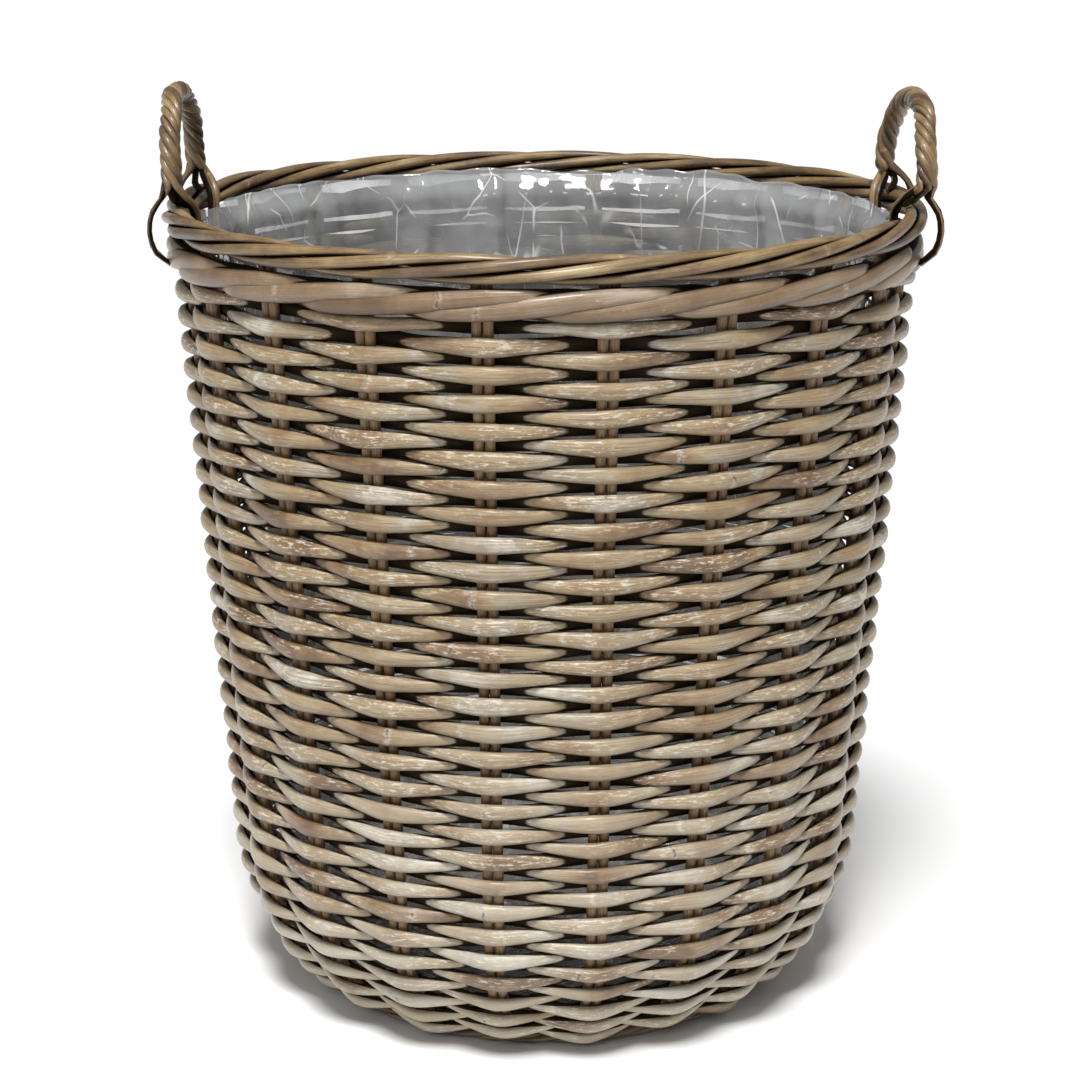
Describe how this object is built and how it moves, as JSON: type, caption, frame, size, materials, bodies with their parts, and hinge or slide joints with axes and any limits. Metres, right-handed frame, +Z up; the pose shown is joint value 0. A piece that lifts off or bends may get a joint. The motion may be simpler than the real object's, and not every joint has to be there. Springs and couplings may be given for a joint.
{
  "type": "log basket",
  "caption": "Round woven cane log basket with paired stakes, a roped border, two twisted ear handles and a clear film liner, to hold logs or laundry",
  "frame": {"origin": "on the ground under the middle of the base", "axes": "+Z up, the front towards -Y, the two handles at -X and +X"},
  "size_m": [0.4978, 0.4978, 0.609],
  "materials": {
    "weave_cane": "satin, weathered grey-tan cane",
    "stake_cane": "satin, orange-brown cane",
    "rim_cane": "semi-gloss brown cane",
    "liner_film": "clear crinkled film"
  },
  "bodies": {
    "root": {"stake_pair_01": "stake_cane", "stake_pair_02": "stake_cane", "stake_pair_03": "stake_cane", "stake_pair_04": "stake_cane", "stake_pair_05": "stake_cane", "stake_pair_06": "stake_cane", "stake_pair_07": "stake_cane", "stake_pair_08": "stake_cane", "stake_pair_09": "stake_cane", "stake_pair_10": "stake_cane", "stake_pair_11": "stake_cane", "stake_pair_12": "stake_cane", "stake_pair_13": "stake_cane", "stake_pair_14": "stake_cane", "stake_pair_15": "stake_cane", "stake_pair_16": "stake_cane", "stake_pair_17": "stake_cane", "stake_pair_18": "stake_cane", "stake_pair_19": "stake_cane", "stake_pair_20": "stake_cane", "base_sticks_lengthways": "stake_cane", "base_sticks_crossways": "stake_cane", "wall_weave_1": "weave_cane", "wall_weave_2": "weave_cane", "wall_weave_3": "weave_cane", "wall_weave_4": "weave_cane", "wall_weave_5": "weave_cane", "wall_weave_6": "weave_cane", "wall_weave_7": "weave_cane", "wall_weave_8": "weave_cane", "base_weave": "weave_cane", "foot_wale": "weave_cane", "wale_rod_front_lower": "weave_cane", "wale_rod_front_upper": "weave_cane", "wale_rod_back": "weave_cane", "border_strand_outer": "rim_cane", "border_strand_inner": "rim_cane", "border_strand_top": "rim_cane", "handle_left_strand_1": "rim_cane", "handle_left_strand_2": "rim_cane", "handle_left_strand_3": "rim_cane", "handle_left_strand_4": "rim_cane", "handle_right_strand_1": "rim_cane", "handle_right_strand_2": "rim_cane", "handle_right_strand_3": "rim_cane", "handle_right_strand_4": "rim_cane", "liner_film": "liner_film"}
  },
  "joints": []
}
